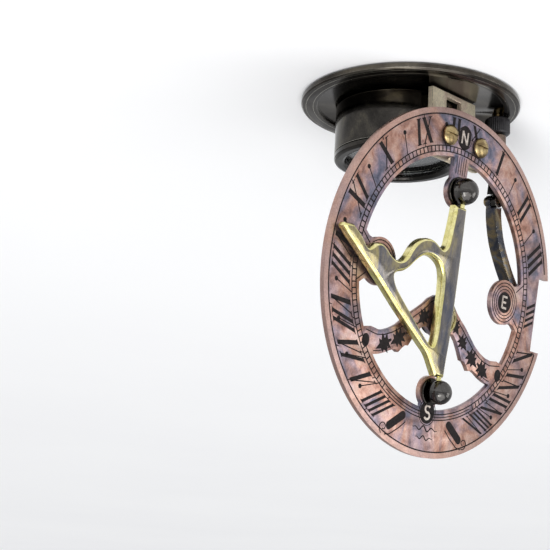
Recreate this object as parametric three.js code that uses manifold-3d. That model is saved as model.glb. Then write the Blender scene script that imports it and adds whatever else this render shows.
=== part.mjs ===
// Folding inclining sundial compass, millimetres, +Z up, base plate standing on Z = 0.
// X runs west to east, +Y runs from the compass drum toward the hinge of the hour ring.
import * as THREE from 'three';
import { mergeVertices } from 'three/addons/utils/BufferGeometryUtils.js';
import Module from 'manifold-3d';

const wasm = await Module();
wasm.setup();

// ---- driving dimensions (mm) ----
const GAP = 0.3;                 // running clearance between neighbouring pieces
const RING_R = 42;               // hour ring outer radius
const RING_HOLE_R = 30.5;        // hour ring inner radius
const RING_T = 1.2;              // hour ring thickness, face at local z = 0
const OPEN_DEG = 81.7;           // ring raised from the folded position
const HINGE_Y = 31;              // hinge axis below the ring centre line, ring frame
const HINGE_Z = -3.0;            // hinge axis behind the ring face, ring frame
const HINGE = [0, 13.94, 17.55]; // hinge axis in the part frame
const BASE_R = 27.5;             // base plate radius
const DRUM_R = 16;               // compass drum radius
const DRUM_Y = -3.6;             // compass drum centre
const KNOB = [18.0, 14.0];       // clamp stud position on the base
const BRACKET_SCREW = [6, 8.0];   // bracket screw x (mirrored) and height
const RING_SCREW = [6, 35];      // ring screw positions, ring frame (mirrored in X)
const POST_N = 22.4;             // north gnomon post, ring frame y
const POST_S = -26.4;            // south gnomon post, ring frame y
const BALL_N = [3.3, 2.3];       // north ball radius and height of its centre above the ring face
const BALL_S = [2.9, 3.0];       // south ball radius and height of its centre
const BALL_CUT = 0.95;           // height of the balls' flat undersides
const FOLD_Z = 2.1;              // gnomon pivot height above the ring face
const ARC_PIVOT = [18.3, 24.7];  // latitude arc pivot, ring frame
const LINK_SCREW = [18.3, 34.2]; // link screw, ring frame
const ARC_W = 2.2;               // latitude arc band width

// ---- helpers ----
function man(g0) {
  const g = g0.clone();
  for (const k of Object.keys(g.attributes)) if (k !== 'position') g.deleteAttribute(k);
  const m = mergeVertices(g, 1e-5);
  const P = new Float32Array(m.attributes.position.array);
  const T = new Uint32Array(m.index.array);
  let v = 0;
  for (let i = 0; i < T.length; i += 3) {
    const a = T[i] * 3, b = T[i + 1] * 3, c = T[i + 2] * 3;
    v += P[a] * (P[b + 1] * P[c + 2] - P[b + 2] * P[c + 1])
       - P[a + 1] * (P[b] * P[c + 2] - P[b + 2] * P[c])
       + P[a + 2] * (P[b] * P[c + 1] - P[b + 1] * P[c]);
  }
  if (v < 0) for (let i = 0; i < T.length; i += 3) { const t = T[i + 1]; T[i + 1] = T[i + 2]; T[i + 2] = t; }
  return new wasm.Manifold(new wasm.Mesh({ numProp: 3, vertProperties: P, triVerts: T }));
}
function geo(m) {
  const me = m.getMesh();
  const g = new THREE.BufferGeometry();
  g.setAttribute('position', new THREE.BufferAttribute(new Float32Array(me.vertProperties), 3));
  g.setIndex(new THREE.BufferAttribute(new Uint32Array(me.triVerts), 1));
  g.computeVertexNormals();
  return g;
}
const poly = pts => { const s = new THREE.Shape(); pts.forEach((p, i) => i ? s.lineTo(p[0], p[1]) : s.moveTo(p[0], p[1])); s.closePath(); return s; };
function ext(shape, z0, z1, seg = 24) {
  const g = new THREE.ExtrudeGeometry(shape, { depth: z1 - z0, bevelEnabled: false, curveSegments: seg });
  g.translate(0, 0, z0);
  return man(g);
}
const pext = (pts, z0, z1) => ext(poly(pts), z0, z1);
function cyl(r, z0, z1, x = 0, y = 0, n = 48) {
  const g = new THREE.CylinderGeometry(r, r, z1 - z0, n);
  g.rotateX(Math.PI / 2); g.translate(x, y, (z0 + z1) / 2);
  return man(g);
}
function cylX(r, x0, x1, y, z, n = 40) {
  const g = new THREE.CylinderGeometry(r, r, x1 - x0, n);
  g.rotateZ(Math.PI / 2); g.translate((x0 + x1) / 2, y, z);
  return man(g);
}
function cylY(r, y0, y1, x, z, n = 32) {
  const g = new THREE.CylinderGeometry(r, r, y1 - y0, n);
  g.translate(x, (y0 + y1) / 2, z);
  return man(g);
}
function box(x0, x1, y0, y1, z0, z1) {
  const g = new THREE.BoxGeometry(x1 - x0, y1 - y0, z1 - z0);
  g.translate((x0 + x1) / 2, (y0 + y1) / 2, (z0 + z1) / 2);
  return man(g);
}
function ball(r, x, y, z) {
  const g = new THREE.SphereGeometry(r, 36, 24);
  g.rotateX(Math.PI / 2); g.translate(x, y, z);
  return man(g);
}
function turned(pts, x = 0, y = 0, n = 72) {
  const g = new THREE.LatheGeometry(pts.map(p => new THREE.Vector2(p[0], p[1])), n);
  g.rotateX(Math.PI / 2); g.translate(x, y, 0);
  return man(g);
}
const mats = {
  bronze: new THREE.MeshStandardMaterial({ color: 0x9a6a52, metalness: 0.9, roughness: 0.35 }),
  brass: new THREE.MeshStandardMaterial({ color: 0xb59a4a, metalness: 0.9, roughness: 0.3 }),
  dark: new THREE.MeshStandardMaterial({ color: 0x3a3835, metalness: 0.8, roughness: 0.3 }),
  steel: new THREE.MeshStandardMaterial({ color: 0x8d9298, metalness: 0.9, roughness: 0.35 }),
  black: new THREE.MeshStandardMaterial({ color: 0x16161a, metalness: 0.2, roughness: 0.4 }),
  card: new THREE.MeshStandardMaterial({ color: 0xe8e2d0, metalness: 0.0, roughness: 0.8 }),
  glass: new THREE.MeshStandardMaterial({ color: 0xdfe8ea, metalness: 0.0, roughness: 0.05, transparent: true, opacity: 0.35 }),
};
const group = new THREE.Group(); group.name = 'sundial_compass';
function add(parent, name, solid, mat) {
  const m = new THREE.Mesh(geo(solid), mats[mat]); m.name = name; parent.add(m); return m;
}
// mirrored copy of a closed outline, used for the east and west halves of the casting
const flip = pts => pts.map(p => [-p[0], p[1]]).reverse();

// ---- base ----
const base = new THREE.Group(); base.name = 'base_group'; group.add(base);
let plate = turned([[0, 0], [26.9, 0], [BASE_R, 0.5], [BASE_R, 1.5], [27.1, 1.9], [23.6, 1.9], [23.4, 1.75], [23.4, 1.0], [0, 1.0]], 0, 0, 128);
plate = plate.subtract(cyl(1.5, -1, 3, KNOB[0], KNOB[1], 32));
add(base, 'base_plate', plate, 'dark');

let drum = turned([[0, 1.3], [15.6, 1.3], [DRUM_R, 1.7], [DRUM_R, 13.7], [14.6, 13.7], [14.6, 12.5], [13.7, 12.5], [13.7, 3.0], [0, 3.0]], 0, DRUM_Y, 96);
for (const s of [-1, 1]) drum = drum.subtract(cylY(0.9, 9.7, 14, s * BRACKET_SCREW[0], BRACKET_SCREW[1], 24));
add(base, 'compass_drum', drum, 'dark');
add(base, 'bezel_ring', turned([[13.1, 14.0], [DRUM_R, 14.0], [DRUM_R, 15.0], [15.75, 15.4], [15.2, 15.6], [13.9, 15.6], [13.4, 15.4], [13.1, 14.9], [13.1, 14.0]], 0, DRUM_Y, 96), 'dark');
add(base, 'compass_glass', turned([[0, 12.8], [14.3, 12.8], [14.3, 13.7], [0, 13.7]], 0, DRUM_Y, 96), 'glass');
add(base, 'compass_card', turned([[0.8, 3.3], [13.4, 3.3], [13.4, 4.1], [0.8, 4.1], [0.8, 3.3]], 0, DRUM_Y, 96), 'card');
add(base, 'pivot_pin', turned([[0, 3.3], [0.45, 3.3], [0.45, 8.2], [0, 9.0]], 0, DRUM_Y, 24), 'brass');

// compass needle and its bearing cap
let needle = pext([[0, 12], [1.5, 0], [0, -12], [-1.5, 0]], 9.3, 9.8).add(cyl(2.0, 9.3, 9.8, 0, 0, 32)).subtract(cyl(1.2, 9, 10, 0, 0, 24));
add(base, 'compass_needle', needle.translate([0, DRUM_Y, 0]), 'steel');
add(base, 'needle_cap', turned([[0, 9.3], [0.9, 9.3], [0.9, 9.9], [0.5, 10.5], [0, 10.5]], 0, DRUM_Y, 24), 'brass');

// hinge bracket: windowed upright screwed to the drum wall, with the centre knuckle
const UP = [12.7, 14.1];         // front and back of the upright
let bracket = box(-8.5, 8.5, UP[0], UP[1], 1.3, 15.7)
  .subtract(box(-3.0, 2.8, 11, 16, 2.5, 8.2))
  .add(box(-2.6, 2.6, UP[0], UP[1], 15.3, HINGE[2]))
  .add(cylX(1.5, -2.6, 2.6, HINGE[1], HINGE[2]))
  .subtract(cylX(1.1, -4, 4, HINGE[1], HINGE[2]));
for (const s of [-1, 1]) bracket = bracket.subtract(cylY(0.9, 12, 15, s * BRACKET_SCREW[0], BRACKET_SCREW[1], 24));
add(base, 'hinge_bracket', bracket, 'brass');

// flat slotted screws that hold the bracket to the drum wall
for (const [n, s] of [['west', -1], ['east', 1]]) {
  const x = s * BRACKET_SCREW[0], z = BRACKET_SCREW[1];
  add(base, 'bracket_screw_' + n, cylY(0.6, 10.0, 14.6, x, z, 24).add(cylY(1.5, 14.4, 14.8, x, z, 32))
    .subtract(box(x - 2, x + 2, 14.65, 15.2, z - 0.18, z + 0.18)), 'brass');
}
add(base, 'hinge_pin', cylX(0.8, -9.3, 9.3, HINGE[1], HINGE[2], 32)
  .add(cylX(1.3, -9.4, -8.8, HINGE[1], HINGE[2], 32)).add(cylX(1.3, 8.8, 9.4, HINGE[1], HINGE[2], 32)), 'brass');

// clamp stud with knurled nut and spacer collar
add(base, 'knob_stud', turned([[0, 0.3], [1.2, 0.3], [1.2, 10.5], [0.8, 10.9], [0, 10.9]], KNOB[0], KNOB[1], 32), 'brass');
{
  const pts = [];
  const N = 36;
  for (let i = 0; i < N * 2; i++) {
    const a = i * Math.PI / N, r = i % 2 ? 2.95 : 3.2;
    pts.push([r * Math.cos(a), r * Math.sin(a)]);
  }
  let k = pext(pts, 2.2, 6.4);
  const lim = turned([[0, 2.2], [2.7, 2.2], [3.25, 2.7], [3.25, 5.9], [2.7, 6.4], [0, 6.4]], 0, 0, 48);
  k = k.intersect(lim).subtract(cyl(1.5, 2, 7, 0, 0, 32));
  const m = add(base, 'clamp_knob', k, 'black'); m.position.set(KNOB[0], KNOB[1], 0);
}
add(base, 'stud_collar', turned([[1.5, 6.7], [2.0, 6.7], [2.2, 6.9], [2.2, 9.5], [2.0, 9.7], [1.5, 9.7], [1.5, 6.7]], KNOB[0], KNOB[1], 40), 'dark');

// ---- hour ring and what rides on it, in the ring frame (x east, y north, z out of the face) ----
const ring = new THREE.Group(); ring.name = 'ring_group'; group.add(ring);
const phi = -OPEN_DEG * Math.PI / 180, cs = Math.cos(phi), sn = Math.sin(phi);
ring.rotation.x = phi;
ring.position.set(0, HINGE[1] - (HINGE_Y * cs - HINGE_Z * sn), HINGE[2] - (HINGE_Y * sn + HINGE_Z * cs));

const ARM = [ // one scalloped arm of the casting, west side, from the hub out to the ring
  [0, -3.2], [-2.5, -3.5], [-4.6, -4.7], [-6.0, -6.1], [-7.8, -7.5], [-10.0, -9.0], [-12.4, -11.0], [-14.7, -12.9],
  [-17.0, -14.2], [-19.2, -15.0], [-21.3, -15.3], [-23.8, -15.0], [-26.6, -15.6], [-27.6, -18.6], [-24.2, -22.4],
  [-22.0, -21.2], [-20.1, -20.8], [-18.3, -20.2], [-16.4, -19.3], [-14.6, -18.7], [-13.3, -19.2], [-12.1, -17.9],
  [-11.2, -17.2], [-10.2, -17.1], [-8.8, -14.9], [-7.4, -13.0], [-5.8, -11.6], [-4.4, -11.6], [-2.6, -12.8], [0, -13.8]];
let hr = cyl(RING_R, -RING_T, 0, 0, 0, 160).subtract(cyl(RING_HOLE_R, -3, 3, 0, 0, 144));
hr = hr.subtract(box(37.2, 44, -10, 9, -3, 3));
hr = hr.add(box(-2.75, 2.75, POST_N, 31.5, -RING_T, 0)).add(cyl(4.0, -RING_T, 0, 0, POST_N, 48));
hr = hr.add(box(-2.4, 2.4, -31.5, POST_S, -RING_T, 0)).add(cyl(3.8, -RING_T, 0, 0, POST_S, 48));
for (const s of [-1, 1]) {
  hr = hr.add(cyl(5.6, -RING_T, 0, s * 24, 0, 56));
  const neck = [[26.6, -4.6], [28.6, -5.0], [31.2, -7.0], [31.2, 7.0], [28.6, 5.0], [26.6, 4.6]];
  hr = hr.add(pext(s > 0 ? neck : flip(neck), -RING_T, 0));
}
hr = hr.add(pext(ARM, -RING_T, 0)).add(pext(flip(ARM), -RING_T, 0));
for (const s of [-1, 1]) hr = hr.subtract(cyl(1.3, -3, 3, s * RING_SCREW[0], RING_SCREW[1], 32));
hr = hr.subtract(cyl(1.1, -3, 3, 0, POST_N, 32)).subtract(cyl(1.1, -3, 3, 0, POST_S, 32));
hr = hr.subtract(cyl(1.1, -3, 3, 0, -8.4, 32));
hr = hr.subtract(cyl(0.9, -3, -0.4, LINK_SCREW[0], LINK_SCREW[1], 24));
add(ring, 'hour_ring', hr, 'bronze');

function ringScrew() {
  let s = turned([[0, -2.5], [1.0, -2.5], [1.0, 0.3], [2.5, 0.3], [2.5, 0.7], [2.1, 1.2], [1.2, 1.5], [0, 1.5]], 0, 0, 48);
  return s.subtract(box(-3, 3, -0.28, 0.28, 0.9, 2));
}
for (const [n, s] of [['west', -1], ['east', 1]]) {
  const m = add(ring, 'ring_screw_' + n, ringScrew(), 'brass');
  m.position.set(s * RING_SCREW[0], RING_SCREW[1], 0);
}
let leaf = box(-8.5, 8.5, 32.7, 38.4, -2.5, -1.5);
for (const s of [-1, 1]) {
  const a = s > 0 ? 2.9 : -8.5, b = s > 0 ? 8.5 : -2.9;
  leaf = leaf.add(box(a, b, HINGE_Y, 33, -2.5, -1.5)).add(cylX(1.5, a, b, HINGE_Y, HINGE_Z));
}
leaf = leaf.subtract(cylX(1.1, -10, 10, HINGE_Y, HINGE_Z));
for (const s of [-1, 1]) leaf = leaf.subtract(cyl(1.3, -4, 0, s * RING_SCREW[0], RING_SCREW[1], 32));
add(ring, 'hinge_leaf', leaf, 'brass');

// boss behind the hub where the arms meet, riveted through the hub
add(ring, 'centre_boss', turned([[0, -3.4], [3.8, -3.4], [4.2, -3.0], [4.2, -1.5], [0.8, -1.5], [0.8, -0.2], [0, -0.2]], 0, -8.4, 48), 'dark');

// half-round stepped boss on the hub face, beside the folded gnomon
add(ring, 'hub_boss', turned([[0, 0.3], [4.5, 0.3], [4.5, 1.3], [4.1, 1.7], [3.6, 1.7], [3.4, 1.2], [3.1, 1.2], [2.9, 1.9], [2.6, 2.1], [0, 2.1]], 0, -8.4, 72)
  .intersect(box(2.0, 6, -14, -2, 0, 4)), 'brass');

// gnomon posts: ball head, stem through the ring, peened end behind
function post(dim, y) {
  const [r, zc] = dim;
  const stem = turned([[0, -2.1], [1.5, -2.1], [1.5, -1.5], [0.8, -1.5], [0.8, 1.6], [0, 1.6]], 0, y, 32);
  const side = y > 0 ? [y - r - 1, y - 1.0] : [y + 1.0, y + r + 1];
  return ball(r, 0, y, zc).subtract(box(-6, 6, y - 6, y + 6, -6, BALL_CUT)).add(stem).subtract(cylY(0.9, side[0], side[1], 0, FOLD_Z));
}
add(ring, 'post_north', post(BALL_N, POST_N), 'dark');
add(ring, 'post_south', post(BALL_S, POST_S), 'dark');
// thin washers under the balls
const collar = (ro, y) => turned([[1.1, 0.3], [ro, 0.3], [ro, 0.5], [ro - 0.15, 0.65], [1.1, 0.65], [1.1, 0.3]], 0, y, 40);
add(ring, 'collar_north', collar(3.6, POST_N), 'dark');
add(ring, 'collar_south', collar(3.3, POST_S), 'dark');

// link bar behind the ring that carries the latitude arc
let link = box(17.2, 19.4, 25.5, 36, -4.7, -1.5).add(cyl(1.8, -4.7, -1.5, LINK_SCREW[0], LINK_SCREW[1], 32))
  .subtract(cyl(1.95, -6, -2.9, ARC_PIVOT[0], ARC_PIVOT[1], 40))
  .add(cyl(1.6, -2.9, -1.5, ARC_PIVOT[0], ARC_PIVOT[1], 32)).add(box(17.2, 19.4, 24.7, 26.5, -2.9, -1.5))
  .subtract(cyl(0.9, -6, 0, LINK_SCREW[0], LINK_SCREW[1], 24))
  .subtract(cyl(0.9, -6, 0, ARC_PIVOT[0], ARC_PIVOT[1], 24));
add(ring, 'arc_link', link, 'dark');
const slot = box(-2, 2, -0.18, 0.18, -7, -5.5);
add(ring, 'link_screw', turned([[0, -5.9], [0.9, -5.9], [1.5, -5.6], [1.5, -5.0], [0.6, -5.0], [0.6, -0.7], [0, -0.7]], 0, 0, 32)
  .subtract(slot).translate([LINK_SCREW[0], LINK_SCREW[1], 0]), 'brass');
add(ring, 'arc_pivot_screw', turned([[0, -5.6], [0.8, -5.6], [1.2, -5.4], [1.2, -5.0], [0.6, -5.0], [0.6, -1.6], [0, -1.6]], 0, 0, 32)
  .translate([ARC_PIVOT[0], ARC_PIVOT[1], 0]), 'brass');

// latitude arc: curved band with a thinner eye that laps under the link
{
  const c = new THREE.CatmullRomCurve3([[18.55, 23.6], [18.9, 21.3], [21.2, 15.4], [24.5, 10.5], [29.0, 5.5], [34.0, 1.6]].map(p => new THREE.Vector3(p[0], p[1], 0)));
  const L = [], Rr = [], n = 28;
  for (let i = 0; i <= n; i++) {
    const p = c.getPoint(i / n), t = c.getTangent(i / n);
    const w = ARC_W / 2 * (i === n ? 0.6 : 1);
    L.push([p.x - t.y * w, p.y + t.x * w]); Rr.push([p.x + t.y * w, p.y - t.x * w]);
  }
  let arc = pext(L.concat(Rr.reverse()), -4.7, -1.5)
    .subtract(cyl(1.95, -3.2, 0, ARC_PIVOT[0], ARC_PIVOT[1], 40))
    .add(cyl(1.6, -4.7, -3.2, ARC_PIVOT[0], ARC_PIVOT[1], 32))
    .subtract(cyl(0.9, -6, 0, ARC_PIVOT[0], ARC_PIVOT[1], 24));
  add(ring, 'latitude_arc', arc, 'steel');
}

// gnomon: openwork plate folded flat over the west half, pivots at both ends of its straight edge
{
  const NE = 18.3, SE = -22.8;
  const smooth = (pts, n, closed = false) => new THREE.CatmullRomCurve3(pts.map(p => new THREE.Vector3(p[0], p[1], 0)), closed, 'centripetal').getPoints(n).map(p => [p.x, p.y]);
  const crest = smooth([[-37.3, 5.6], [-34.3, 3.8], [-31.5, 1.6], [-30.1, 2.3], [-29.1, 3.1], [-27.3, 3.5], [-25.4, 2.8], [-23.7, 1.7], [-21.6, 0.9], [-19.4, 1.3],
    [-18.1, 2.5], [-16.6, 5.0], [-14.8, 6.9], [-12.4, 8.1], [-9.6, 8.3], [-7.6, 7.6], [-5.7, 6.9], [-4.6, 7.9], [-4.1, 10.5], [-3.7, 13.7], [-3.3, NE]], 84);
  const outer = [[-40.4, 4.5], [-40.0, 5.3], ...crest, [0.9, NE], [1.2, 6], [1.3, -4], [1.3, -13], [1.0, -18], [0.8, SE], [-2.4, SE],
    ...smooth([[-2.4, SE], [-3.9, -20.9], [-6.1, -18.3], [-9.0, -16.4]], 10).slice(1), [-19.0, -10.0], [-26.3, -4.9], [-33.3, -0.3], [-38.5, 3.1]];
  const hole = smooth([[-21.5, -2.7], [-20.6, -1.8], [-18.4, -1.0], [-16.5, 0.3], [-15.2, 1.6], [-13.4, 3.2], [-11.5, 4.2], [-9.1, 4.4], [-7.0, 3.8], [-5.5, 2.7],
    [-4.6, 0.8], [-4.2, -2.3], [-4.1, -5.8], [-4.1, -9.3], [-4.1, -12.1], [-4.3, -14.4], [-4.9, -16.0], [-6.1, -15.7], [-9.2, -13.6], [-13.1, -10.7], [-17.6, -7.3], [-20.6, -4.7]], 90, true).slice(0, -1);
  let g = pext(outer, FOLD_Z - 1.2, FOLD_Z + 1.05).subtract(pext(hole, -1, 6))
    .add(cylY(0.6, NE - 0.5, POST_N - 1.3, 0, FOLD_Z)).add(cylY(0.6, POST_S + 1.3, SE + 0.5, 0, FOLD_Z));
  add(ring, 'gnomon', g, 'brass');
}
export default group;
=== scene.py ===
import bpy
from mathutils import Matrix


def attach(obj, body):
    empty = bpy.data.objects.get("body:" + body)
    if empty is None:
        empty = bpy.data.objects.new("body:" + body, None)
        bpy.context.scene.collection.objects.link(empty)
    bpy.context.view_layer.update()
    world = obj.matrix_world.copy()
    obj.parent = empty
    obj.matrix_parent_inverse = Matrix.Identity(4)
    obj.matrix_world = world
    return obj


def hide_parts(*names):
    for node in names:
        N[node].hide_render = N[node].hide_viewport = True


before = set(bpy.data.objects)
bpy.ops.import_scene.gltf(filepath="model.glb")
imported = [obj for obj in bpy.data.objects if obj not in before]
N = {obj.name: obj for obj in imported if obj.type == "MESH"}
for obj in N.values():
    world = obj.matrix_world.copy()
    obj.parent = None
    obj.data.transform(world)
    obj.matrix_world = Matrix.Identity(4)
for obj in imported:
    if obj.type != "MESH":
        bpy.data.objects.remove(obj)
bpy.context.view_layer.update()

import math
import bpy
import bmesh
from mathutils import Matrix, Vector

MM = 0.001

# ---------------------------------------------------------------- ring frame
PHI = math.radians(-81.7)
CS, SN = math.cos(PHI), math.sin(PHI)
RY = 13.94 - (31.0 * CS + 3.0 * SN)
RZ = 17.55 - (31.0 * SN - 3.0 * CS)


def ringpt(x, y, z):
    """ring-frame millimetres to the row frame in metres"""
    return Vector((x, RY + y * CS - z * SN, RZ + y * SN + z * CS)) * MM


def basept(x, y, z):
    return Vector((x, y, z)) * MM


# ---------------------------------------------------------------- materials
def nt(name):
    m = bpy.data.materials.new(name)
    m.use_nodes = True
    t = m.node_tree
    t.nodes.clear()
    out = t.nodes.new("ShaderNodeOutputMaterial")
    b = t.nodes.new("ShaderNodeBsdfPrincipled")
    t.links.new(b.outputs[0], out.inputs[0])
    return m, t, b


def noise(t, co, scale, detail=6.0, rough=0.55, dist=0.0):
    n = t.nodes.new("ShaderNodeTexNoise")
    n.inputs["Scale"].default_value = scale
    n.inputs["Detail"].default_value = detail
    n.inputs["Roughness"].default_value = rough
    n.inputs["Distortion"].default_value = dist
    t.links.new(co, n.inputs["Vector"])
    return n.outputs["Fac"]


def ramp(t, fac, stops, interp="LINEAR"):
    r = t.nodes.new("ShaderNodeValToRGB")
    r.color_ramp.interpolation = interp
    e = r.color_ramp.elements
    while len(e) < len(stops):
        e.new(0.5)
    for el, (p, c) in zip(e, stops):
        el.position = p
        el.color = (*c, 1.0) if len(c) == 3 else c
    t.links.new(fac, r.inputs[0])
    return r.outputs[0]


def maprange(t, fac, a, b, lo, hi):
    n = t.nodes.new("ShaderNodeMapRange")
    n.inputs["From Min"].default_value = a
    n.inputs["From Max"].default_value = b
    n.inputs["To Min"].default_value = lo
    n.inputs["To Max"].default_value = hi
    t.links.new(fac, n.inputs["Value"])
    return n.outputs[0]


def mixc(t, fac, a, b, mode="MIX"):
    n = t.nodes.new("ShaderNodeMix")
    n.data_type = "RGBA"
    n.blend_type = mode
    for sock, v in ((n.inputs[0], fac), (n.inputs[6], a), (n.inputs[7], b)):
        if isinstance(v, bpy.types.NodeSocket):
            t.links.new(v, sock)
        elif isinstance(v, (int, float)):
            sock.default_value = v
        else:
            sock.default_value = (*v, 1.0)
    return n.outputs[2]


def math2(t, op, a, b=None):
    n = t.nodes.new("ShaderNodeMath")
    n.operation = op
    for i, v in enumerate((a, b)):
        if v is None:
            continue
        if isinstance(v, bpy.types.NodeSocket):
            t.links.new(v, n.inputs[i])
        else:
            n.inputs[i].default_value = v
    return n.outputs[0]


def bump(t, b, h, strength, dist):
    n = t.nodes.new("ShaderNodeBump")
    n.inputs["Strength"].default_value = strength
    n.inputs["Distance"].default_value = dist
    t.links.new(h, n.inputs["Height"])
    t.links.new(n.outputs[0], b.inputs["Normal"])


def objco(t):
    return t.nodes.new("ShaderNodeTexCoord").outputs["Object"]


def metal(name, stops, rlo, rhi, big=90.0, fine=1400.0, scratch=0.0, metallic=1.0, bumpd=0.00002, dist=0.6, stretch=(1, 1, 1), dark_below=None):
    """patinated metal: colour clouds at 1/big metre, grain at 1/fine metre"""
    m, t, b = nt(name)
    co = objco(t)
    mp = t.nodes.new("ShaderNodeMapping")
    mp.inputs["Scale"].default_value = stretch
    t.links.new(co, mp.inputs["Vector"])
    v = mp.outputs[0]
    cloud = noise(t, v, big, 5.0, 0.6, dist)
    grain = noise(t, v, fine, 3.0, 0.6)
    col = ramp(t, cloud, stops)
    if dark_below is not None:
        sz = t.nodes.new("ShaderNodeSeparateXYZ"); t.links.new(co, sz.inputs[0])
        col = mixc(t, maprange(t, sz.outputs["Z"], dark_below, dark_below + 0.0009, 1.0, 0.0), col, (0.075, 0.055, 0.045))
    g = maprange(t, grain, 0.3, 0.7, 0.82, 1.12)
    n = t.nodes.new("ShaderNodeMix"); n.data_type = "RGBA"; n.blend_type = "MULTIPLY"
    n.inputs[0].default_value = 1.0
    t.links.new(col, n.inputs[6]); t.links.new(g, n.inputs[7])
    t.links.new(n.outputs[2], b.inputs["Base Color"])
    b.inputs["Metallic"].default_value = metallic
    r = maprange(t, noise(t, v, big * 3.1, 4.0), 0.3, 0.7, rlo, rhi)
    t.links.new(r, b.inputs["Roughness"])
    h = grain
    if scratch:
        ms = t.nodes.new("ShaderNodeMapping")
        ms.inputs["Scale"].default_value = (scratch * 40, scratch * 900, scratch * 900)
        ms.inputs["Rotation"].default_value = (0.3, 0.2, 0.5)
        t.links.new(co, ms.inputs["Vector"])
        h = math2(t, "ADD", grain, noise(t, ms.outputs[0], 1.0, 2.0))
    bump(t, b, h, 0.25, bumpd)
    return m


# copper-bronze ring with heat bloom; paler rim outside the outer line
def ring_material():
    m, t, b = nt("ring_patina")
    co = objco(t)
    big = noise(t, co, 70.0, 4.0, 0.55, 1.2)
    mid = noise(t, co, 260.0, 5.0, 0.6, 0.5)
    fine = noise(t, co, 2600.0, 3.0, 0.6)
    copper = ramp(t, mid, [(0.28, (0.15, 0.080, 0.062)), (0.42, (0.31, 0.165, 0.125)), (0.54, (0.44, 0.27, 0.215)), (0.70, (0.50, 0.37, 0.32))])
    bloom = ramp(t, mid, [(0.32, (0.075, 0.080, 0.115)), (0.46, (0.15, 0.145, 0.19)), (0.57, (0.27, 0.21, 0.26)), (0.70, (0.42, 0.31, 0.31))])
    f = maprange(t, big, 0.42, 0.60, 0.0, 1.0)
    face = mixc(t, f, copper, bloom)
    # distance from the ring's axis
    sub = t.nodes.new("ShaderNodeVectorMath"); sub.operation = "SUBTRACT"
    t.links.new(co, sub.inputs[0]); sub.inputs[1].default_value = tuple(ringpt(0, 0, 0))
    ln = t.nodes.new("ShaderNodeVectorMath"); ln.operation = "LENGTH"
    t.links.new(sub.outputs[0], ln.inputs[0])
    rim = maprange(t, ln.outputs["Value"], 0.0403, 0.0409, 0.0, 0.75)
    face = mixc(t, rim, face, (0.46, 0.30, 0.25))
    g = maprange(t, fine, 0.3, 0.7, 0.80, 1.15)
    n = t.nodes.new("ShaderNodeMix"); n.data_type = "RGBA"; n.blend_type = "MULTIPLY"
    n.inputs[0].default_value = 1.0
    t.links.new(face, n.inputs[6]); t.links.new(g, n.inputs[7])
    t.links.new(n.outputs[2], b.inputs["Base Color"])
    b.inputs["Metallic"].default_value = 0.92
    t.links.new(maprange(t, noise(t, co, 500.0, 4.0), 0.3, 0.7, 0.30, 0.46), b.inputs["Roughness"])
    bump(t, b, math2(t, "ADD", fine, mid), 0.22, 0.00003)
    return m


def edge_metal(name, a, c, rough=0.25):
    return metal(name, [(0.35, a), (0.65, c)], rough - 0.05, rough + 0.08, big=400.0, fine=3000.0)


M_RING = ring_material()
M_RING_EDGE = edge_metal("ring_worn_edge", (0.60, 0.36, 0.26), (0.74, 0.52, 0.42), 0.28)
M_GNOMON = metal("gnomon_brass", [(0.34, (0.085, 0.090, 0.115)), (0.46, (0.17, 0.155, 0.14)), (0.57, (0.30, 0.255, 0.13)), (0.70, (0.46, 0.41, 0.19))], 0.16, 0.30, big=150.0, fine=2200.0, scratch=0.5, stretch=(1.0, 1.0, 0.45))
M_GNOMON_EDGE = edge_metal("gnomon_bright_edge", (0.62, 0.56, 0.20), (0.84, 0.78, 0.42), 0.20)
M_GUN = metal("blackened_bronze", [(0.35, (0.020, 0.019, 0.018)), (0.55, (0.050, 0.046, 0.041)), (0.72, (0.11, 0.10, 0.075))], 0.10, 0.20, big=110.0, fine=2400.0, scratch=0.4)
M_GUN_EDGE = edge_metal("blackened_bronze_edge", (0.34, 0.33, 0.29), (0.52, 0.50, 0.43), 0.20)
M_PLATE = metal("base_plate_patina", [(0.36, (0.035, 0.030, 0.026)), (0.52, (0.075, 0.066, 0.055)), (0.70, (0.15, 0.135, 0.105))], 0.12, 0.24, big=60.0, fine=2000.0, scratch=0.5)
M_BALL = metal("polished_gunmetal", [(0.35, (0.045, 0.043, 0.042)), (0.60, (0.10, 0.095, 0.09)), (0.75, (0.20, 0.18, 0.15))], 0.10, 0.20, big=220.0, fine=2600.0)
M_PALE = metal("pale_satin_brass", [(0.36, (0.38, 0.29, 0.24)), (0.52, (0.60, 0.51, 0.37)), (0.70, (0.74, 0.64, 0.44))], 0.24, 0.38, big=160.0, fine=2600.0, scratch=0.6)
M_LETTER = metal("letter_metal", [(0.36, (0.40, 0.34, 0.30)), (0.65, (0.62, 0.56, 0.50))], 0.3, 0.45, big=900.0, fine=4000.0)
M_BRACKET = metal("bracket_brass", [(0.34, (0.58, 0.43, 0.35)), (0.50, (0.80, 0.70, 0.52)), (0.70, (0.92, 0.84, 0.62))], 0.36, 0.52, big=160.0, fine=2600.0, scratch=0.6, metallic=0.3)
M_PALE_EDGE = edge_metal("pale_brass_edge", (0.74, 0.60, 0.44), (0.86, 0.75, 0.58), 0.24)
M_SCREW = metal("yellow_brass", [(0.36, (0.17, 0.12, 0.06)), (0.52, (0.36, 0.27, 0.13)), (0.70, (0.52, 0.42, 0.22))], 0.24, 0.40, big=420.0, fine=3500.0, scratch=0.8)
M_ARC = metal("arc_tempered", [(0.34, (0.030, 0.034, 0.050)), (0.48, (0.070, 0.070, 0.075)), (0.58, (0.17, 0.13, 0.07)), (0.70, (0.12, 0.14, 0.18))], 0.18, 0.32, big=200.0, fine=2600.0, scratch=0.6)
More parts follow.
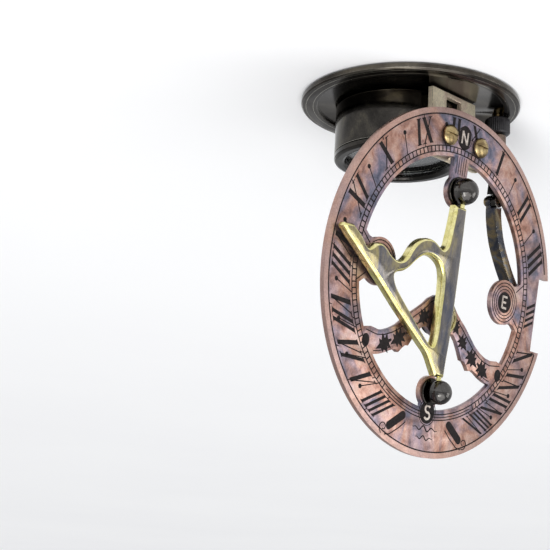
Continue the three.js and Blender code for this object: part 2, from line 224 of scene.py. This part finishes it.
M_ARC_EDGE = edge_metal("arc_edge", (0.40, 0.42, 0.46), (0.58, 0.58, 0.56), 0.24)
M_COLLAR = metal("brown_collar", [(0.36, (0.10, 0.07, 0.055)), (0.55, (0.22, 0.165, 0.13)), (0.70, (0.34, 0.27, 0.21))], 0.26, 0.40, big=420.0, fine=3000.0)
M_STEEL = metal("polished_steel", [(0.4, (0.42, 0.44, 0.47)), (0.6, (0.60, 0.62, 0.64))], 0.14, 0.24, big=300.0, fine=3000.0)

# black enamel of the knob and the filled engraving
def black(name, col, rough, scale):
    m, t, b = nt(name)
    co = objco(t)
    c = ramp(t, noise(t, co, scale, 4.0), [(0.35, tuple(0.6 * k for k in col)), (0.65, tuple(1.5 * k for k in col))])
    t.links.new(c, b.inputs["Base Color"])
    t.links.new(maprange(t, noise(t, co, scale * 2, 3.0), 0.3, 0.7, rough - 0.08, rough + 0.1), b.inputs["Roughness"])
    bump(t, b, noise(t, co, scale * 3, 3.0), 0.2, 0.00002)
    return m


M_BLACK = black("black_lacquer", (0.018, 0.017, 0.019), 0.38, 900.0)
M_INK = black("engraving_fill", (0.012, 0.009, 0.009), 0.75, 1500.0)
M_INK.node_tree.nodes["Principled BSDF"].inputs["Specular IOR Level"].default_value = 0.18
M_PRINT = black("printed_ink", (0.03, 0.028, 0.03), 0.6, 1200.0)

# printed card
m, t, b = nt("printed_card")
co = objco(t)
c = ramp(t, noise(t, co, 220.0, 5.0), [(0.3, (0.66, 0.61, 0.48)), (0.7, (0.82, 0.78, 0.67))])
t.links.new(c, b.inputs["Base Color"])
b.inputs["Roughness"].default_value = 0.75
bump(t, b, noise(t, co, 3000.0, 3.0), 0.3, 0.00002)
M_CARD = m

# needle: dark north half, bright south half
m, t, b = nt("needle_steel")
co = objco(t)
sep = t.nodes.new("ShaderNodeSeparateXYZ"); t.links.new(co, sep.inputs[0])
f = maprange(t, sep.outputs["Y"], -0.0037, -0.0035, 0.0, 1.0)
c = mixc(t, f, (0.55, 0.57, 0.60), (0.06, 0.09, 0.20))
g = mixc(t, 0.25, c, ramp(t, noise(t, co, 1500.0), [(0.3, (0.1, 0.1, 0.1)), (0.7, (0.9, 0.9, 0.9))]), "OVERLAY")
t.links.new(g, b.inputs["Base Color"])
b.inputs["Metallic"].default_value = 1.0
b.inputs["Roughness"].default_value = 0.22
bump(t, b, noise(t, co, 2500.0), 0.2, 0.00001)
M_NEEDLE = m

# cover glass
m, t, b = nt("cover_glass")
co = objco(t)
b.inputs["Base Color"].default_value = (0.95, 0.98, 0.98, 1.0)
b.inputs["Transmission Weight"].default_value = 1.0
b.inputs["IOR"].default_value = 1.45
t.links.new(maprange(t, noise(t, co, 300.0, 3.0), 0.3, 0.7, 0.01, 0.05), b.inputs["Roughness"])
bump(t, b, noise(t, co, 60.0, 2.0), 0.05, 0.00002)
M_GLASS = m


def dress(node, mat, edge=None, width=0.0, seg=2, angle=35.0, clamp=True):
    """new material on a CAD node, smooth shading and a small broken edge"""
    o = N[node]
    o.data.materials.clear()
    o.data.materials.append(mat)
    if edge:
        o.data.materials.append(edge)
    for p in o.data.polygons:
        p.material_index = 0
    if width:
        w = o.modifiers.new("weld", "WELD"); w.merge_threshold = 1e-6
        dc = o.modifiers.new("planar", "DECIMATE"); dc.decimate_type = "DISSOLVE"; dc.angle_limit = math.radians(0.5)
        bv = o.modifiers.new("edge", "BEVEL")
        bv.width = width * MM
        bv.segments = seg
        bv.limit_method = "ANGLE"
        bv.angle_limit = math.radians(angle)
        bv.use_clamp_overlap = clamp
        bv.harden_normals = False
        if edge:
            bv.material = 1
    for p in o.data.polygons:
        p.use_smooth = True
    o.data.set_sharp_from_angle(angle=math.radians(32))
    return o


dress("hour_ring", M_RING, M_RING_EDGE, 0.16)


def chamfered(node, name, body, face_mat, edge_mat, z_lo, z_hi, levels, rods=()):
    """a flat openwork node rebuilt from its own outline with a broad chamfer round its face"""
    src = N[node].data
    inv = lambda p: (p[0] / MM, (p[1] / MM - RY) * CS + (p[2] / MM - RZ) * SN, -(p[1] / MM - RY) * SN + (p[2] / MM - RZ) * CS)
    key = lambda q: (round(q[0], 3), round(q[1], 3))
    L = [inv(v.co) for v in src.vertices]
    cnt, nxt = {}, {}
    for f in src.polygons:
        q = [L[i] for i in f.vertices]
        if all(abs(a[2] - z_hi) < 0.004 for a in q):
            k = [key(a) for a in q]
            for i in range(len(k)):
                cnt[(k[i], k[(i + 1) % len(k)])] = True
    for a, b in cnt:
        if (b, a) not in cnt:
            nxt[a] = b
    loops = []
    while nxt:
        a = next(iter(nxt)); lp = [a]
        b = nxt.pop(a)
        while b != a:
            lp.append(b); b = nxt.pop(b)
        # drop points that lie almost on each other
        out = []
        for i, p_ in enumerate(lp):
            if out and math.dist(out[-1], p_) < 0.12:
                continue
            out.append(p_)
        loops.append(out)
    loops = [l for l in loops if len(l) > 8]

    def inset(lp, w):
        res = []
        n = len(lp)
        for i in range(n):
            a, p_, c = Vector(lp[i - 1]), Vector(lp[i]), Vector(lp[(i + 1) % n])
            d1, d2 = (p_ - a).normalized(), (c - p_).normalized()
            n1, n2 = Vector((-d1.y, d1.x)), Vector((-d2.y, d2.x))
            m_ = n1 + n2
            if m_.length < 1e-3:
                m_ = n1
            m_.normalize()
            k_ = min(1.6, 1.0 / max(0.3, m_.dot(n1)))
            res.append((p_.x + m_.x * w * k_, p_.y + m_.y * w * k_))
        return res
    verts, faces, mids = [], [], []
    rings = []
    for lp in loops:
        rr = []
        for w_, z_ in levels:
            q = inset(lp, w_)
            base_i = len(verts)
            verts += [ringpt(x_, y_, z_) for x_, y_ in q]
            rr.append((base_i, q))
        for (b0, q0), (b1, q1) in zip(rr, rr[1:]):
            n = len(lp)
            for i in range(n):
                j = (i + 1) % n
                faces.append([b0 + i, b0 + j, b1 + j, b1 + i]); mids.append(1)
        rings.append(rr)
    from mathutils.geometry import tessellate_polygon
    for lev, flip_ in ((0, True), (-1, False)):
        polys = [[Vector((x_, y_, 0)) for x_, y_ in rr[lev][1]] for rr in rings]
        idx = []
        for rr in rings:
            idx += [rr[lev][0] + i for i in range(len(rr[lev][1]))]
        for t3 in tessellate_polygon(polys):
            f_ = [idx[i] for i in t3]
            faces.append(f_[::-1] if flip_ else f_); mids.append(0)
    me_ = bpy.data.meshes.new(name)
    me_.from_pydata([tuple(v) for v in verts], [], faces)
    for p_, mi in zip(me_.polygons, mids):
        p_.material_index = mi
    bm_ = bmesh.new(); bm_.from_mesh(me_)
    bmesh.ops.recalc_face_normals(bm_, faces=bm_.faces[:])
    for x_, y0_, y1_, z_, r_ in rods:
        n = 24
        c0 = [bm_.verts.new(ringpt(x_ + r_ * math.cos(2 * math.pi * i / n), y0_, z_ + r_ * math.sin(2 * math.pi * i / n))) for i in range(n)]
        c1 = [bm_.verts.new(ringpt(x_ + r_ * math.cos(2 * math.pi * i / n), y1_, z_ + r_ * math.sin(2 * math.pi * i / n))) for i in range(n)]
        fs = [bm_.faces.new(c0), bm_.faces.new(c1[::-1])] + [bm_.faces.new((c0[i], c1[i], c1[(i + 1) % n], c0[(i + 1) % n])) for i in range(n)]
        for f_ in fs:
            f_.material_index = 1
        bmesh.ops.recalc_face_normals(bm_, faces=fs)
    bm_.to_mesh(me_); bm_.free()
    for p_ in me_.polygons:
        p_.use_smooth = True
    me_.set_sharp_from_angle(angle=math.radians(30))
    me_.materials.append(face_mat); me_.materials.append(edge_mat)
    o_ = bpy.data.objects.new(name, me_)
    bpy.context.scene.collection.objects.link(o_)
    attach(o_, body)
    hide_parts(node)
    return o_


dress("gnomon", M_GNOMON)
chamfered("gnomon", "gnomon_plate", "gnomon", M_GNOMON, M_GNOMON_EDGE, 0.9, 3.15,
          [(0.18, 0.90), (0.0, 1.05), (0.0, 2.45), (0.14, 2.72), (0.36, 2.98), (0.66, 3.15)],
          [(0.0, 17.8, 21.1, 2.1, 0.6), (0.0, -25.1, -22.3, 2.1, 0.6)])
dress("latitude_arc", M_ARC, M_ARC_EDGE, 0.22)
dress("arc_link", M_GUN, M_GUN_EDGE, 0.15)
dress("hinge_bracket", M_BRACKET, M_PALE_EDGE, 0.10)
dress("hub_boss", M_GNOMON, M_GNOMON_EDGE, 0.14)
dress("hinge_leaf", M_PALE, M_PALE_EDGE, 0.12)
dress("base_plate", M_PLATE, M_GUN_EDGE, 0.08, 2, 30)
dress("compass_drum", M_GUN, M_GUN_EDGE, 0.10, 2, 30)
dress("bezel_ring", M_GUN)
dress("clamp_knob", M_BLACK, None, 0.06)
dress("stud_collar", M_COLLAR)
for n in ("post_north", "post_south"):
    dress(n, M_BALL)
for n in ("collar_north", "collar_south", "centre_boss"):
    dress(n, M_GUN)
for n in ("ring_screw_west", "ring_screw_east"):
    dress(n, M_SCREW, None, 0.06)
for n in ("bracket_screw_west", "bracket_screw_east"):
    dress(n, M_GUN)
for n in ("hinge_pin", "knob_stud", "link_screw", "arc_pivot_screw", "pivot_pin", "needle_cap"):
    dress(n, M_SCREW)
dress("compass_needle", M_NEEDLE, None, 0.05)
dress("compass_card", M_CARD)
dress("compass_glass", M_GLASS)


# ---------------------------------------------------------------- inlay builder
class Inlay:
    """closed thin prisms on one plane, gathered into one mesh"""

    def __init__(self, to3d, z0, z1):
        self.to3d, self.z0, self.z1 = to3d, z0, z1
        self.v, self.f = [], []

    def poly(self, pts):
        a = sum(pts[i][0] * pts[(i + 1) % len(pts)][1] - pts[(i + 1) % len(pts)][0] * pts[i][1] for i in range(len(pts)))
        if a < 0:
            pts = pts[::-1]
        n, k = len(pts), len(self.v)
        for z in (self.z0, self.z1):
            for p in pts:
                self.v.append(self.to3d(p[0], p[1], z))
        self.f.append([k + i for i in range(n)][::-1])
        self.f.append([k + n + i for i in range(n)])
        for i in range(n):
            j = (i + 1) % n
            self.f.append([k + i, k + j, k + n + j, k + n + i])

    def line(self, a, b, w, w2=None):
        w2 = w if w2 is None else w2
        d = Vector((b[0] - a[0], b[1] - a[1]))
        if d.length < 1e-6:
            return
        d.normalize()
        nx, ny = -d.y, d.x
        self.poly([(a[0] - nx * w / 2, a[1] - ny * w / 2), (b[0] - nx * w2 / 2, b[1] - ny * w2 / 2), (b[0] + nx * w2 / 2, b[1] + ny * w2 / 2), (a[0] + nx * w / 2, a[1] + ny * w / 2)])

    def path(self, pts, w, taper=False):
        """one closed ribbon along a polyline"""
        L, R = [], []
        n = len(pts)
        for i, p in enumerate(pts):
            a, b = pts[max(0, i - 1)], pts[min(n - 1, i + 1)]
            d = Vector((b[0] - a[0], b[1] - a[1])).normalized()
            k = w / 2
            if taper:
                k *= 0.35 + 0.65 * math.sin(math.pi * min(1.0, (i + 0.6) / n))
            L.append((p[0] - d.y * k, p[1] + d.x * k))
            R.append((p[0] + d.y * k, p[1] - d.x * k))
        k0 = len(self.v)
        for z in (self.z0, self.z1):
            for p in L:
                self.v.append(self.to3d(p[0], p[1], z))
            for p in R:
                self.v.append(self.to3d(p[0], p[1], z))
        l0, r0, l1, r1 = k0, k0 + n, k0 + 2 * n, k0 + 3 * n
        for i in range(n - 1):
            self.f.append([l1 + i, r1 + i, r1 + i + 1, l1 + i + 1])
            self.f.append([l0 + i + 1, r0 + i + 1, r0 + i, l0 + i])
            self.f.append([l0 + i, l1 + i, l1 + i + 1, l0 + i + 1])
            self.f.append([r0 + i + 1, r1 + i + 1, r1 + i, r0 + i])
        self.f.append([l0, r0, r1, l1])
        e = n - 1
        self.f.append([r0 + e, l0 + e, l1 + e, r1 + e])

    def arc(self, cx, cy, r, w, a0=0.0, a1=360.0, step=3.0):
        """ring or arc line; angles in degrees, counter-clockwise from +x"""
        full = abs(a1 - a0) >= 359.9
        n = max(3, int(abs(a1 - a0) / step))
        if not full:
            self.path([(cx + r * math.cos(math.radians(a0 + (a1 - a0) * i / n)), cy + r * math.sin(math.radians(a0 + (a1 - a0) * i / n))) for i in range(n + 1)], w)
            return
        k = len(self.v)
        for z in (self.z0, self.z1):
            for rr in (r - w / 2, r + w / 2):
                for i in range(n):
                    a = 2 * math.pi * i / n
                    self.v.append(self.to3d(cx + rr * math.cos(a), cy + rr * math.sin(a), z))
        for i in range(n):
            j = (i + 1) % n
            self.f.append([k + 2 * n + i, k + 3 * n + i, k + 3 * n + j, k + 2 * n + j])
            self.f.append([k + i, k + j, k + n + j, k + n + i])
            self.f.append([k + n + i, k + n + j, k + 3 * n + j, k + 3 * n + i])
            self.f.append([k + j, k + i, k + 2 * n + i, k + 2 * n + j])

    def disc(self, cx, cy, rx, ry=None, n=28):
        ry = rx if ry is None else ry
        self.poly([(cx + rx * math.cos(2 * math.pi * i / n), cy + ry * math.sin(2 * math.pi * i / n)) for i in range(n)])

    def make(self, name, body, mat):
        me = bpy.data.meshes.new(name)
        me.from_pydata([tuple(p) for p in self.v], [], self.f)
        me.validate()
        bm = bmesh.new(); bm.from_mesh(me)
        bmesh.ops.triangulate(bm, faces=[f for f in bm.faces if len(f.verts) > 4])
        bmesh.ops.recalc_face_normals(bm, faces=bm.faces[:])
        bm.to_mesh(me); bm.free()
        me.materials.append(mat)
        o = bpy.data.objects.new(name, me)
        bpy.context.scene.collection.objects.link(o)
        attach(o, body)
        return o


# ---------------------------------------------------------------- ring markings
def pol(az, r):
    """azimuth clockwise from north"""
    a = math.radians(az)
    return (r * math.sin(a), r * math.cos(a))


ink = Inlay(ringpt, -0.02, 0.035)
O = Vector((0.0, -26.0))


def blocked(az):
    """the eastern notch takes the outer band away"""
    return abs(((az - 90 + 180) % 360) - 180) < 14.5


def hour_dir(az):
    p = Vector(pol(az, 37.0))
    return ((O - p).normalized() * 0.8 - p.normalized() * 0.2).normalized()


def to_r(p, d, r):
    """point on the line from p along d where the distance from the centre is r"""
    b = p.dot(d); c = p.dot(p) - r * r
    s = b * b - c
    return p + d * (-b - math.sqrt(max(0.0, s)))


def out_r(p, d, r):
    """the same on the outward side"""
    b = p.dot(d)
    return p - d * (b + math.sqrt(max(0.0, b * b - p.dot(p) + r * r)))


# outer line, broken at the notch
ink.path([pol(105.2 + i * 2.0, 40.5) for i in range(166)], 0.32)
# ladder lines; plain triple line at the south between the arms
for r in (32.9, 31.5):
    ink.arc(0, 0, r, 0.26, 0, 360, 2.5)
ink.path([pol(151 + i * 2.0, 32.2) for i in range(30)], 0.2)
for i in range(144):
    az = i * 2.5 + 1.25
    if 149 < az < 211:
        continue
    ink.line(pol(az, 31.55), pol(az, 32.85), 0.30)

NUM = [(0, "XII"), (24, "I"), (47.5, "II"), (69, "III"), (92, "IIII"), (108.5, "V"), (121.5, "VI"), (134.5, "VII"), (147.5, "VIII"),
       (-24, "XI"), (-47.5, "X"), (-69, "IX"), (-92, "VIII"), (-111.5, "VII"), (-125.5, "VI"), (-138, "V"), (-150.5, "IIII")]
GW = {"I": 1.75, "V": 4.1, "X": 4.1}


def numeral(az, text, rf=39.8, rt=33.6, maxw=9.5):
    d = hour_dir(az)
    total = sum(GW[c] for c in text) + 0.3 * (len(text) - 1)
    k = min(1.0, maxw / total)

    def M(s, u):
        a = math.radians(az) - s * k / 37.0
        mid = Vector((36.7 * math.sin(a), 36.7 * math.cos(a))) if rt < 35 and rf > 37 else Vector(((rf + rt) / 2 * math.sin(a), (rf + rt) / 2 * math.cos(a)))
        B = out_r(mid, d, rf)
        T = to_r(mid, d, rt)
        q = B + (T - B) * u
        return (q.x, q.y)

    def quad(s0, u0, s1, u1, w):
        ink.poly([M(s0 - w / 2, u0), M(s0 + w / 2, u0), M(s1 + w / 2, u1), M(s1 - w / 2, u1)])

    def serif(s, u, w):
        h = 0.035
        ink.poly([M(s - w / 2, max(0, u - h)), M(s + w / 2, max(0, u - h)), M(s + w / 2, min(1, u + h)), M(s - w / 2, min(1, u + h))])

    x = -total / 2
    for c in text:
        w = GW[c]; m0 = x + w / 2
        if c == "I":
            quad(m0, 0, m0, 1, 1.0)
            serif(m0, 0, 1.6); serif(m0, 1, 1.6)
        elif c == "V":
            quad(m0 + 0.1, 0, m0 - 1.2, 1, 1.15)
            quad(m0 + 0.1, 0, m0 + 1.35, 1, 0.38)
            serif(m0 - 1.2, 1, 1.5); serif(m0 + 1.35, 1, 1.2)
        else:
            quad(m0 + 1.25, 0, m0 - 1.25, 1, 1.15)
            quad(m0 - 1.25, 0, m0 + 1.25, 1, 0.36)
            for s in (-1.25, 1.25):
                serif(m0 + s, 0, 1.3); serif(m0 + s, 1, 1.3)
        x += w + 0.3


for az, txt in NUM:
    if az == 92:
        numeral(az, txt, 36.8, 33.5, 6.4)
        continue
    sp = 6.6 if abs(az) > 145 else 7.2 if abs(az) > 118 else (8.0 if abs(az) > 100 else 9.6)
    if az == 0:
        # pushed toward the rim between the screw heads and the letter
        for s, c in ((3.9, "X"), (-3.7, "II")):
            a = -math.degrees(s / 37.0)
            numeral(-a, c, 40.0, 36.0, 3.6)
        continue
    numeral(az, txt, maxw=sp)
    d = hour_dir(az)
    p = Vector(pol(az, 36.7))
    ink.line(tuple(to_r(p, d, 33.8)), tuple(to_r(p, d, 33.0)), 0.22)
    ink.line(tuple(out_r(p, d, 39.7)), tuple(out_r(p, d, 40.4)), 0.22)
# half-hour pins
for az in (11.5, 35.5, 58.5, 81, 101.5, 115, 128, 141):
    for s in (1, -1):
        a = az * s
        if blocked(a):
            continue
        d = hour_dir(a)
        p = out_r(Vector(pol(a, 36.7)), d, 38.0)
        ink.line(tuple(p), tuple(to_r(p, d, 33.0)), 0.24)
        ink.disc(p.x, p.y, 0.55, n=14)

# dark rounded bars with a curl at the south
def bar(a, b, w):
    d = Vector((b[0] - a[0], b[1] - a[1])).normalized()
    ang = math.atan2(d.y, d.x)
    pts = []
    for i in range(9):
        t_ = ang + math.pi / 2 + math.pi * i / 8
        pts.append((a[0] + w / 2 * math.cos(t_), a[1] + w / 2 * math.sin(t_)))
    for i in range(9):
        t_ = ang - math.pi / 2 + math.pi * i / 8
        pts.append((b[0] + w / 2 * math.cos(t_), b[1] + w / 2 * math.sin(t_)))
    ink.poly(pts)


for s in (-1, 1):
    bar((s * 8.6, -33.2), (s * 13.0, -36.2), 2.0)
    cx, cy = s * 14.9, -35.6
    ink.path([(cx + (1.5 - 0.055 * i) * math.cos(math.radians(-110 + s * 0 + i * 18 * s)), cy - 1.2 + (1.5 - 0.055 * i) * math.sin(math.radians(-110 + i * 18 * s))) for i in range(22)], 0.24)
    ink.path([(s * 7.4, -34.6), (s * 9.5, -36.3), (s * 12.4, -38.1), (s * 14.2, -38.4)], 0.26)
# plain wave flourish in place of lettering
ink.path([(-4.6 + i * 0.1, -35.2 + 0.62 * math.sin(i * 0.20) * math.sin(math.pi * i / 92)) for i in range(93)], 0.34, True)
ink.path([(-3.2 + i * 0.1, -37.4 + 0.50 * math.sin(i * 0.24 + 1.0) * math.sin(math.pi * i / 64)) for i in range(65)], 0.30, True)

# scroll arms: border lines, leaves and the dark ovals at their roots
ARM_LINE = [(0, -4.3), (-2.4, -4.5), (-4.1, -5.5), (-5.4, -6.9), (-7.2, -8.4), (-9.3, -9.9), (-11.7, -11.9), (-14.1, -13.8), (-16.6, -15.2), (-19.0, -16.1), (-21.4, -16.5), (-23.8, -16.2), (-25.4, -16.0)]
ARM_LOW = [(-21.9, -20.4), (-20.2, -20.1), (-18.4, -19.5), (-16.5, -18.6)]


def leaf(cx, cy, ang, L, W):
    """five-lobed leaf"""
    prof = [(-0.50, 0.06), (-0.30, 0.10), (-0.34, 0.46), (-0.12, 0.24), (-0.05, 0.60), (0.12, 0.26), (0.24, 0.42), (0.28, 0.16), (0.62, 0.0)]
    pts = [(p[0], p[1]) for p in prof] + [(p[0], -p[1]) for p in prof[-2::-1]]
    c, s = math.cos(ang), math.sin(ang)
    # one outline polygon keeps the prism simple
    out = [(cx + (x * L) * c - (y * W) * s, cy + (x * L) * s + (y * W) * c) for x, y in pts]
    ink.poly(out)


for s in (-1, 1):
    ink.path([(-s * x, y) for x, y in ARM_LINE], 0.26)
    ink.path([(-s * x, y) for x, y in ARM_LOW], 0.22)
    for cx, cy, L, W, a in ((-18.5, -18.1, 5.2, 4.2, 212), (-13.9, -16.0, 5.2, 4.2, 218), (-9.6, -12.8, 4.4, 3.6, 222), (-6.0, -9.4, 4.6, 3.8, 228)):
        an = math.radians(a)
        if s > 0:
            an = math.pi - an
        leaf(-s * cx, cy, an, L, W)
    ink.disc(s * 25.0, -18.4, 1.25, 1.55, n=24)
    # double line round the side discs and lines out to the ring
    ink.arc(s * 24, 0, 4.9, 0.24, 0, 360, 8)
    ink.arc(s * 24, 0, 4.1, 0.22, 0, 360, 8)
    for k in (-1, 1):
        ink.line((s * 28.2, k * 3.4), (s * 31.2, k * 5.9), 0.24)
    ink.disc(s * 24, 0, 2.65)
    ink.arc(s * 24, 0, 3.3, 0.2, 0, 360, 8)
ink.disc(0, 35.9, 2.35, 3.0)
ink.disc(0, -31.3, 2.7)
ink.arc(0, 35.9, 2.75, 0.18, 0, 360, 10)
ink.arc(0, -31.3, 3.05, 0.18, 0, 360, 10)
# ridges along the north tongue
for x in (-1.7, -0.85, 0.0, 0.85, 1.7):
    ink.line((x, 26.6), (x, 31.0), 0.16)
ink.arc(0, -8.4, 4.4, 0.24, 200, 340, 8)
ink.make("ring_markings", "ring", M_INK)

# bright letters in the dark discs
let = Inlay(ringpt, 0.0, 0.075)


def letter(ch, cx, cy, h, up=(0, 1), il=None, k=1.0):
    il = il or let
    u = Vector(up).normalized(); r = Vector((u.y, -u.x))

    def P(x, y):
        return (cx + (r.x * x + u.x * y) * h, cy + (r.y * x + u.y * y) * h)
    w = 0.17 * h * k
    if ch == "N":
        for a, b in (((-.32, -.5), (-.32, .5)), ((-.32, .5), (.32, -.5)), ((.32, -.5), (.32, .5))):
            il.line(P(*a), P(*b), w)
    elif ch == "E":
        for a, b in (((-.28, -.5), (-.28, .5)), ((-.28, .45), (.3, .45)), ((-.28, 0), (.2, 0)), ((-.28, -.45), (.3, -.45))):
            il.line(P(*a), P(*b), w)
    elif ch == "W":
        for a, b in (((-.46, .5), (-.24, -.5)), ((-.24, -.5), (0, .3)), ((0, .3), (.24, -.5)), ((.24, -.5), (.46, .5))):
            il.line(P(*a), P(*b), w * 0.85)
    else:
        pts = []
        for i in range(15):
            a = math.radians(30 + i * 240 / 14)
            pts.append(P(0.28 * math.cos(a), 0.25 + 0.25 * math.sin(a)))
        for i in range(1, 15):
            a = math.radians(90 - i * 240 / 14)
            pts.append(P(0.30 * math.cos(a), -0.25 + 0.25 * math.sin(a)))
        il.path(pts, w)


letter("N", 0, 35.9, 3.1)
letter("S", 0, -31.3, 3.2)
letter("E", 24, 0, 3.1)
letter("W", -24, 0, 2.9)
let.make("ring_letters", "ring", M_LETTER)

# ---------------------------------------------------------------- compass card
cp = Inlay(lambda x, y, z: basept(x, y - 3.6, z), 4.09, 4.14)
cp.arc(0, 0, 12.9, 0.2, 0, 360, 4)
cp.arc(0, 0, 11.2, 0.16, 0, 360, 4)
cp.arc(0, 0, 6.9, 0.14, 0, 360, 6)
for i in range(72):
    cp.line(pol(i * 5, 11.2), pol(i * 5, 12.85 if i % 2 == 0 else 12.1), 0.16)
for i in range(8):
    a = i * 45
    L = 6.7 if i % 2 == 0 else 4.7
    cp.poly([pol(a, L), pol(a + 22.5, 1.7), (0, 0)])
    cp.line(pol(a, L), pol(a - 22.5, 1.7), 0.12)
for ch, az in (("N", 0), ("E", 90), ("S", 180), ("W", 270)):
    x, y = pol(az, 9.0)
    letter(ch, x, y, 2.6, (x, y), cp, 1.0)
cp.make("card_print", "base", M_PRINT)

# fine turned grooves on the base plate's flange
gr = Inlay(basept, 1.90, 1.93)
gr.arc(0, 0, 24.5, 0.12, 0, 360, 3)
gr.arc(0, 0, 26.3, 0.12, 0, 360, 3)
gr.make("flange_lines", "base", M_GUN_EDGE)

# ---------------------------------------------------------------- stage
fm, ft, fb = nt("studio_floor")
co = objco(ft)
c = ramp(ft, noise(ft, co, 3.0, 4.0), [(0.3, (0.90, 0.90, 0.905)), (0.7, (0.93, 0.93, 0.93))])
ft.links.new(c, fb.inputs["Base Color"])
fb.inputs["Roughness"].default_value = 0.65
fb.inputs["Specular IOR Level"].default_value = 0.2
me = bpy.data.meshes.new("floor")
S = 12.0
me.from_pydata([(-S, -S, 0), (S, -S, 0), (S, S, 0), (-S, S, 0)], [], [(0, 1, 2, 3)])
me.materials.append(fm)
floor = bpy.data.objects.new("floor", me)
floor.location.z = -0.00002
bpy.context.scene.collection.objects.link(floor)

w = bpy.data.worlds.new("studio")
bpy.context.scene.world = w
w.use_nodes = True
wt = w.node_tree
bg = wt.nodes["Background"]
tc = wt.nodes.new("ShaderNodeTexCoord")
sp = wt.nodes.new("ShaderNodeSeparateXYZ")
wt.links.new(tc.outputs["Generated"], sp.inputs[0])
cr = wt.nodes.new("ShaderNodeValToRGB")
e = cr.color_ramp.elements
e[0].position = 0.0; e[0].color = (0.95, 0.96, 0.98, 1)
e[1].position = 0.9; e[1].color = (0.45, 0.46, 0.48, 1)
x = e.new(0.25); x.color = (0.86, 0.87, 0.89, 1)
wt.links.new(sp.outputs["Z"], cr.inputs[0])
wt.links.new(cr.outputs[0], bg.inputs[0])
bg.inputs[1].default_value = 0.70


def area(name, loc, target, size, power, color=(1, 1, 1)):
    d = bpy.data.lights.new(name, "AREA")
    d.shape = "SQUARE"; d.size = size; d.energy = power; d.color = color
    o = bpy.data.objects.new(name, d)
    o.location = loc
    o.rotation_euler = (Vector(target) - Vector(loc)).to_track_quat("-Z", "Y").to_euler()
    bpy.context.scene.collection.objects.link(o)
    return o


def sun(name, direction, strength, angle):
    d = bpy.data.lights.new(name, "SUN")
    d.energy = strength; d.angle = math.radians(angle)
    o = bpy.data.objects.new(name, d)
    o.rotation_euler = Vector(direction).to_track_quat("-Z", "Y").to_euler()
    bpy.context.scene.collection.objects.link(o)


C0 = (0.0, 0.01, 0.04)
sun("sun_soft", (0.35, -0.55, -1.0), 1.9, 70)
area("key", (-0.55, 0.35, 0.60), C0, 0.35, 2.2)
area("fill", (0.60, 0.75, 0.35), C0, 0.45, 1.8)

# ---------------------------------------------------------------- camera
right = Vector((0.6971408, 0.71534, -0.04925))
down = Vector((0.20979638, -0.13774, 0.96799))
fwd = right.cross(down).normalized()
down = fwd.cross(right).normalized()
right.normalize()
tcam = Vector((0.96884255, 0.04431713, 8.54782606)) * 42.0 * MM
ring_c = Vector((0, RY, RZ)) * MM
pos = ring_c - right * tcam.x - down * tcam.y - fwd * tcam.z
cam = bpy.data.cameras.new("camera")
cam.lens = 98.18
cam.sensor_width = 36.0
cam.clip_start = 0.01
cam.clip_end = 60.0
co_ = bpy.data.objects.new("camera", cam)
M = Matrix.Identity(4)
for i in range(3):
    M[i][0] = right[i]; M[i][1] = -down[i]; M[i][2] = -fwd[i]; M[i][3] = pos[i]
co_.matrix_world = M
bpy.context.scene.collection.objects.link(co_)
bpy.context.scene.camera = co_
bpy.context.scene.view_settings.view_transform = "Standard"

bpy.context.view_layer.update()
